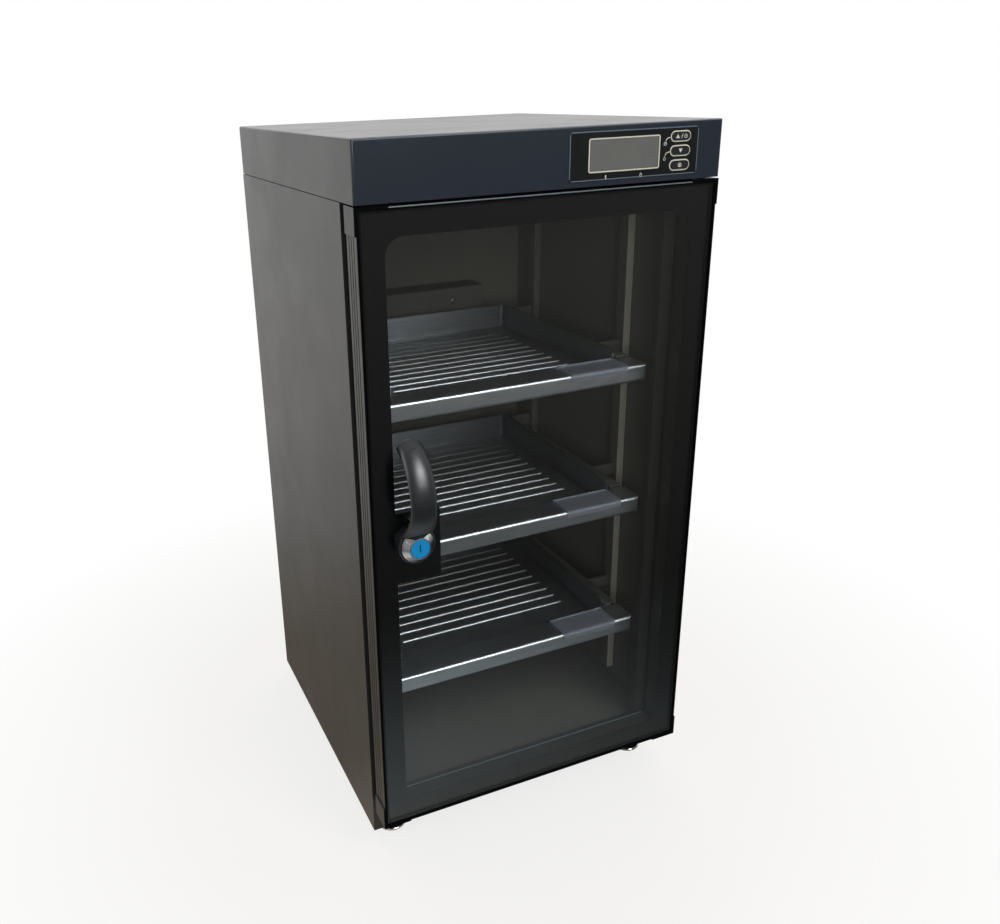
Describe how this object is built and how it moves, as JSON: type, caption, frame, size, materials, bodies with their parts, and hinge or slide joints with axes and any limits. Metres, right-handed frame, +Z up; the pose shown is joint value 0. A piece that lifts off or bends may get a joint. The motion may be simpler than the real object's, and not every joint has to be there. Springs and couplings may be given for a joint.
{
  "type": "electronic dry cabinet",
  "caption": "Upright dry cabinet with a framed glass door, bow handle with a keyed lock, ribbed roll-out trays, a drying unit inside and a control panel in the top cover.",
  "frame": {"origin": "under the middle of the whole object, on the plane that its feet stand on", "axes": "+X to the right as seen from the front, +Y to the back, +Z up"},
  "size_m": [0.34, 0.395, 0.6833],
  "materials": {
    "cabinet_paint": "satin charcoal powder coat, fine orange peel",
    "front_paint": "satin blue-black paint",
    "inner_paint": "satin grey paint",
    "zinc": "zinc-plated sheet",
    "tray_metal": "satin metal sheet",
    "chrome": "polished chrome",
    "door_profile": "black-bronze anodised",
    "cap_plastic": "satin black moulding",
    "glass": "clear toughened glass",
    "mask_film": "black printed film",
    "gasket": "matt black soft profile",
    "handle_plastic": "semi-gloss black moulding",
    "panel_plastic": "semi-gloss dark membrane",
    "lens": "smooth grey display window",
    "board": "green circuit board",
    "lock_face": "glossy blue face",
    "clear_plastic": "clear moulding",
    "black_plastic": "black moulding",
    "desiccant": "off-white porous block",
    "bronze": "sheet brass",
    "bush": "ivory plain-bearing plastic"
  },
  "bodies": {
    "cabinet": {"side_panel_left": "cabinet_paint", "side_panel_right": "cabinet_paint", "back_panel": "cabinet_paint", "base_panel": "cabinet_paint", "chamber_floor": "inner_paint", "front_sill": "front_paint", "front_lintel": "front_paint", "ceiling_panel": "inner_paint", "top_cover": "cabinet_paint", "control_panel": "panel_plastic", "display_window": "lens", "control_board": "board", "power_supply": "zinc", "power_inlet": "black_plastic", "machine_screws": "zinc", "wall_uprights": "zinc", "tray_slides": "zinc", "dryer_housing": "black_plastic", "dryer_cover": "black_plastic", "desiccant_block": "desiccant", "dryer_heater": "zinc", "humidity_sensor": "black_plastic", "hinge_bracket_top": "zinc", "hinge_bracket_bottom": "zinc", "lock_keeper": "zinc"},
    "door": {"door_stile_left": "door_profile", "door_stile_right": "door_profile", "door_rail_top": "door_profile", "door_rail_bottom": "door_profile", "corner_cap_top_left": "cap_plastic", "corner_cap_top_right": "cap_plastic", "corner_cap_bottom_left": "cap_plastic", "corner_cap_bottom_right": "cap_plastic", "door_glass": "glass", "glass_border": "mask_film", "door_gasket": "gasket", "door_handle": "handle_plastic", "handle_screw": "zinc", "lock_housing": "chrome", "lock_nut": "zinc", "hinge_bushes": "bush"},
    "lock_core": {"lock_cylinder": "lock_face", "lock_cam": "zinc"},
    "up_button": {"button_up": "panel_plastic"},
    "down_button": {"button_down": "panel_plastic"},
    "set_button": {"button_set": "panel_plastic"},
    "shutter": {"dryer_shutter": "bronze"},
    "top_tray": {"top_tray_basin": "tray_metal", "top_tray_nose": "tray_metal", "top_tray_label_holder": "clear_plastic"},
    "middle_tray": {"middle_tray_basin": "tray_metal", "middle_tray_nose": "tray_metal", "middle_tray_label_holder": "clear_plastic"},
    "bottom_tray": {"bottom_tray_basin": "tray_metal", "bottom_tray_nose": "tray_metal", "bottom_tray_label_holder": "clear_plastic"},
    "foot_front_left_body": {"foot_front_left": "chrome"},
    "foot_front_right_body": {"foot_front_right": "chrome"},
    "foot_rear_left_body": {"foot_rear_left": "chrome"},
    "foot_rear_right_body": {"foot_rear_right": "chrome"}
  },
  "joints": [
    {"name": "door_hinge", "type": "hinge", "parent": "cabinet", "child": "door", "pos_m": [0.161, -0.15303, 0.042], "axis": [0, 0, 1], "range_deg": [0, 165]},
    {"name": "lock_turn", "type": "hinge", "parent": "door", "child": "lock_core", "pos_m": [-0.131, -0.16503, 0.346], "axis": [0, 1, 0], "range_deg": [0, 90]},
    {"name": "up_press", "type": "slide", "parent": "cabinet", "child": "up_button", "axis": [0, 1, 0], "range_m": [0, 0.0008], "stiffness_N_per_m": 400},
    {"name": "down_press", "type": "slide", "parent": "cabinet", "child": "down_button", "axis": [0, 1, 0], "range_m": [0, 0.0008], "stiffness_N_per_m": 400},
    {"name": "set_press", "type": "slide", "parent": "cabinet", "child": "set_button", "axis": [0, 1, 0], "range_m": [0, 0.0008], "stiffness_N_per_m": 400},
    {"name": "shutter_lift", "type": "slide", "parent": "cabinet", "child": "shutter", "axis": [0, 0, 1], "range_m": [0, 0.008]},
    {"name": "top_tray_slide", "type": "slide", "parent": "cabinet", "child": "top_tray", "axis": [0, -1, 0], "range_m": [0, 0.144]},
    {"name": "middle_tray_slide", "type": "slide", "parent": "cabinet", "child": "middle_tray", "axis": [0, -1, 0], "range_m": [0, 0.144]},
    {"name": "bottom_tray_slide", "type": "slide", "parent": "cabinet", "child": "bottom_tray", "axis": [0, -1, 0], "range_m": [0, 0.144]},
    {"name": "foot_front_left_turn", "type": "hinge", "parent": "cabinet", "child": "foot_front_left_body", "pos_m": [-0.145, -0.11383, 0], "axis": [0, 0, 1], "continuous": true},
    {"name": "foot_front_right_turn", "type": "hinge", "parent": "cabinet", "child": "foot_front_right_body", "pos_m": [0.145, -0.11383, 0], "axis": [0, 0, 1], "continuous": true},
    {"name": "foot_rear_left_turn", "type": "hinge", "parent": "cabinet", "child": "foot_rear_left_body", "pos_m": [-0.145, 0.15897, 0], "axis": [0, 0, 1], "continuous": true},
    {"name": "foot_rear_right_turn", "type": "hinge", "parent": "cabinet", "child": "foot_rear_right_body", "pos_m": [0.145, 0.15897, 0], "axis": [0, 0, 1], "continuous": true}
  ],
  "couplings": [
    {"joint": "top_tray_slide", "follows": "door_hinge", "m_per_rad": 0.05},
    {"joint": "middle_tray_slide", "follows": "door_hinge", "m_per_rad": 0.05},
    {"joint": "bottom_tray_slide", "follows": "door_hinge", "m_per_rad": 0.05}
  ]
}
